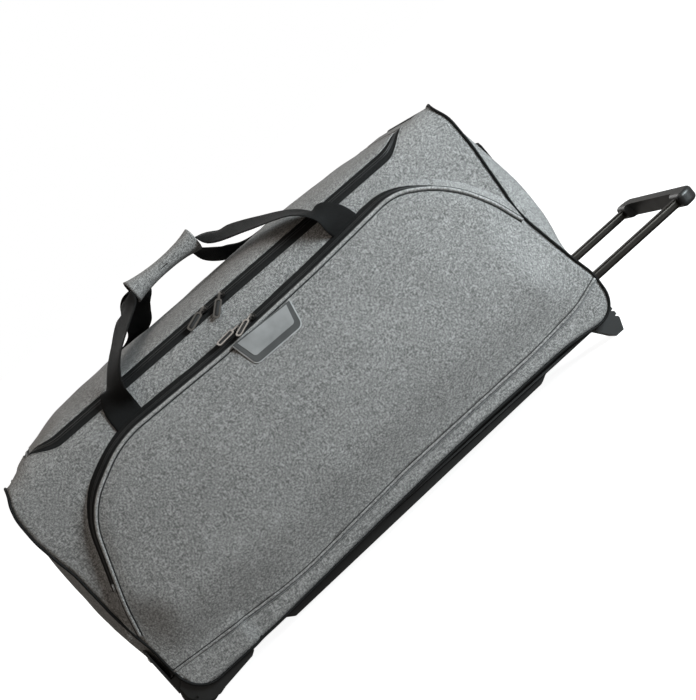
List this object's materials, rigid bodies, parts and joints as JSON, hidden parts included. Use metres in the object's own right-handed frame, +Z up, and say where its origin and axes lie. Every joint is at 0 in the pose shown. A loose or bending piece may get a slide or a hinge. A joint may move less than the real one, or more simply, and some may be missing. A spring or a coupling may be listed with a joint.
{
  "type": "rolling duffel bag",
  "caption": "Boxy soft duffel with inline wheels and skid rails, a telescopic pull handle at one end, a U-zip lid, a wide zipped front pocket and a wrapped carry grip.",
  "frame": {"origin": "on the floor under the middle of the fabric body, halfway between its two ends and its front and back", "axes": "+X along the bag towards the pull handle, wheels at -X; +Y towards the back, front pocket at -Y; +Z up"},
  "size_m": [1.153, 0.4381, 0.561],
  "materials": {
    "melange_fabric": "heather grey woven polyester, matte",
    "lining_board": "stiff base sheet, matte",
    "black_trim": "black piping cord, matte",
    "zip_tape": "black woven zip tape, matte",
    "webbing": "black ribbed webbing",
    "black_plastic": "moulded, fine grain",
    "grip_plastic": "moulded, satin",
    "tube_alloy": "anodised gunmetal",
    "steel": "plated",
    "pull_metal": "gunmetal plated",
    "badge_rubber": "matte rubber",
    "wheel_rubber": "matte",
    "foot_rubber": "ribbed, matte"
  },
  "bodies": {
    "body": {"front_panel": "melange_fabric", "back_panel": "melange_fabric", "top_gusset_wheel_end": "melange_fabric", "top_gusset_handle_end": "melange_fabric", "end_panel_wheel": "melange_fabric", "end_panel_handle": "melange_fabric", "bottom_panel": "black_trim", "pocket_lower_panel": "melange_fabric", "carry_grip_wrap": "melange_fabric", "base_board": "lining_board", "channel_cover": "lining_board", "piping_wheel_end": "black_trim", "piping_handle_end": "black_trim", "piping_bottom": "black_trim", "main_zip_body_tape": "zip_tape", "pocket_zip_body_tape": "zip_tape", "front_carry_strap": "webbing", "rear_carry_strap": "webbing", "end_grab_handle": "webbing", "wheel_housing_front": "black_plastic", "wheel_housing_rear": "black_plastic", "skid_rails": "black_plastic", "handle_exit_plate": "black_plastic", "tube_anchor_block": "black_plastic", "foot_front": "foot_rubber", "foot_rear": "foot_rubber", "wheel_axles": "steel", "rivets": "steel", "outer_tube_front": "tube_alloy", "outer_tube_rear": "tube_alloy"},
    "handle_stage1": {"stage1_tube_front": "tube_alloy", "stage1_tube_rear": "tube_alloy", "stage1_collars": "black_plastic"},
    "handle_stage2": {"stage2_tube_front": "tube_alloy", "stage2_tube_rear": "tube_alloy", "stage2_guides": "black_plastic", "grip_upper_shell": "grip_plastic", "grip_lower_shell": "grip_plastic"},
    "button": {"release_button": "grip_plastic", "push_rods": "steel"},
    "latch_front": {"latch_pin_front": "steel"},
    "latch_rear": {"latch_pin_rear": "steel"},
    "wheel_front": {"tyre_front": "wheel_rubber", "hub_front": "black_plastic"},
    "wheel_rear": {"tyre_rear": "wheel_rubber", "hub_rear": "black_plastic"},
    "lid": {"lid_flap": "melange_fabric", "main_zip_lid_tape": "zip_tape"},
    "pocket": {"pocket_flap": "melange_fabric", "pocket_zip_flap_tape": "zip_tape", "badge_patch": "badge_rubber"},
    "main_slider_l": {"main_slider_left": "pull_metal"},
    "main_slider_r": {"main_slider_right": "pull_metal"},
    "pocket_slider_l": {"pocket_slider_left": "pull_metal"},
    "pocket_slider_r": {"pocket_slider_right": "pull_metal"},
    "main_pull_l": {"main_pull_left": "pull_metal"},
    "main_pull_r": {"main_pull_right": "pull_metal"},
    "pocket_pull_l": {"pocket_pull_left": "pull_metal"},
    "pocket_pull_r": {"pocket_pull_right": "pull_metal"}
  },
  "joints": [
    {"name": "stage1_slide", "type": "slide", "parent": "body", "child": "handle_stage1", "axis": [1, 0, 0], "range_m": [0, 0.22]},
    {"name": "stage2_slide", "type": "slide", "parent": "handle_stage1", "child": "handle_stage2", "axis": [1, 0, 0], "range_m": [-0.17, 0.17]},
    {"name": "button_press", "type": "slide", "parent": "handle_stage2", "child": "button", "axis": [-1, 0, 0], "range_m": [0, 0.005], "stiffness_N_per_m": 900},
    {"name": "latch_pin_front_slide", "type": "slide", "parent": "handle_stage2", "child": "latch_front", "axis": [0, 0, 1], "range_m": [0, 0.0025]},
    {"name": "latch_pin_rear_slide", "type": "slide", "parent": "handle_stage2", "child": "latch_rear", "axis": [0, 0, 1], "range_m": [0, 0.0025]},
    {"name": "wheel_front_spin", "type": "hinge", "parent": "body", "child": "wheel_front", "pos_m": [-0.413, -0.17, 0.031], "axis": [0, 1, 0], "continuous": true},
    {"name": "wheel_rear_spin", "type": "hinge", "parent": "body", "child": "wheel_rear", "pos_m": [-0.413, 0.17, 0.031], "axis": [0, 1, 0], "continuous": true},
    {"name": "lid_hinge", "type": "hinge", "parent": "body", "child": "lid", "pos_m": [0, 0.148, 0.468], "axis": [-1, 0, 0], "range_deg": [0, 110], "deforming": ["front_carry_strap", "rear_carry_strap", "carry_grip_wrap"]},
    {"name": "pocket_flap_fold", "type": "hinge", "parent": "body", "child": "pocket", "pos_m": [-0.413, -0.226, 0.222], "axis": [0.9828, 0, 0.1847], "range_deg": [0, 60]},
    {"name": "main_slider_left_run", "type": "slide", "parent": "lid", "child": "main_slider_l", "axis": [-1, 0, 0], "range_m": [0, 0.25]},
    {"name": "main_slider_right_run", "type": "slide", "parent": "lid", "child": "main_slider_r", "axis": [1, 0, 0], "range_m": [0, 0.285]},
    {"name": "pocket_slider_left_run", "type": "slide", "parent": "pocket", "child": "pocket_slider_l", "axis": [-1, 0, 0], "range_m": [0, 0.255]},
    {"name": "pocket_slider_right_run", "type": "slide", "parent": "pocket", "child": "pocket_slider_r", "axis": [1, 0, 0], "range_m": [0, 0.28]},
    {"name": "main_pull_left_swing", "type": "hinge", "parent": "main_slider_l", "child": "main_pull_l", "pos_m": [-0.038, -0.18849, 0.45649], "axis": [-1, 0, 0], "range_deg": [0, 110]},
    {"name": "main_pull_right_swing", "type": "hinge", "parent": "main_slider_r", "child": "main_pull_r", "pos_m": [-0.005, -0.18849, 0.45649], "axis": [-1, 0, 0], "range_deg": [0, 110]},
    {"name": "pocket_pull_left_swing", "type": "hinge", "parent": "pocket_slider_l", "child": "pocket_pull_l", "pos_m": [-0.02, -0.21511, 0.40316], "axis": [-1, 0, 0], "range_deg": [0, 100]},
    {"name": "pocket_pull_right_swing", "type": "hinge", "parent": "pocket_slider_r", "child": "pocket_pull_r", "pos_m": [0.006, -0.21511, 0.40316], "axis": [-1, 0, 0], "range_deg": [0, 100]}
  ],
  "couplings": [
    {"joint": "latch_pin_front_slide", "follows": "button_press", "ratio": 0.5},
    {"joint": "latch_pin_rear_slide", "follows": "button_press", "ratio": 0.5}
  ]
}
